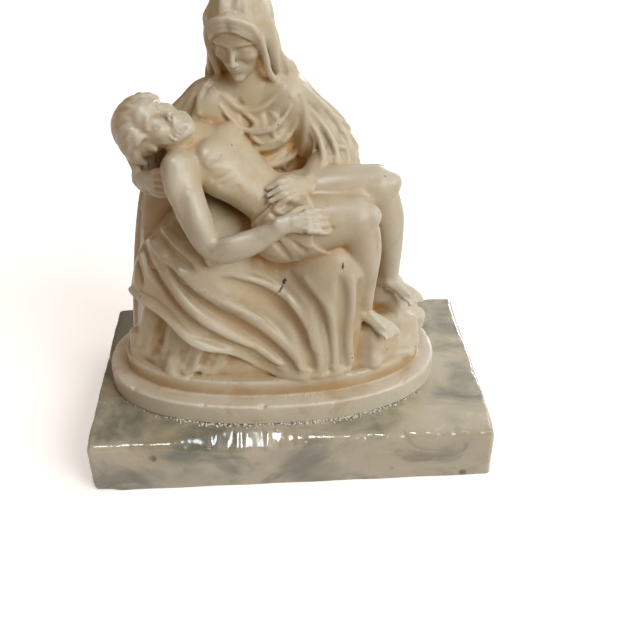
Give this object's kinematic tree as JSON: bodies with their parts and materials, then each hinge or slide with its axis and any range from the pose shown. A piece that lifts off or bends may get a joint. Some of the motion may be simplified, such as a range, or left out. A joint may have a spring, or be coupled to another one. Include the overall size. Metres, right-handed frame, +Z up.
{
  "type": "pieta statuette",
  "caption": "Cast resin devotional group, a seated veiled woman holding a dead man across her lap on an oval stepped plinth, glued to a polished alabaster slab.",
  "frame": {"origin": "middle of the slab's underside", "axes": "+Z up, +X to the viewer's right, the figures face the viewer at -Y"},
  "size_m": [0.12, 0.075, 0.137],
  "materials": {
    "cast_resin": "cream resin filled with marble powder, satin, amber where it is thin or deep",
    "alabaster": "polished cloudy alabaster, grey-green and cream, slightly translucent"
  },
  "bodies": {
    "root": {"pieta_group": "cast_resin", "alabaster_slab": "alabaster"}
  },
  "joints": []
}
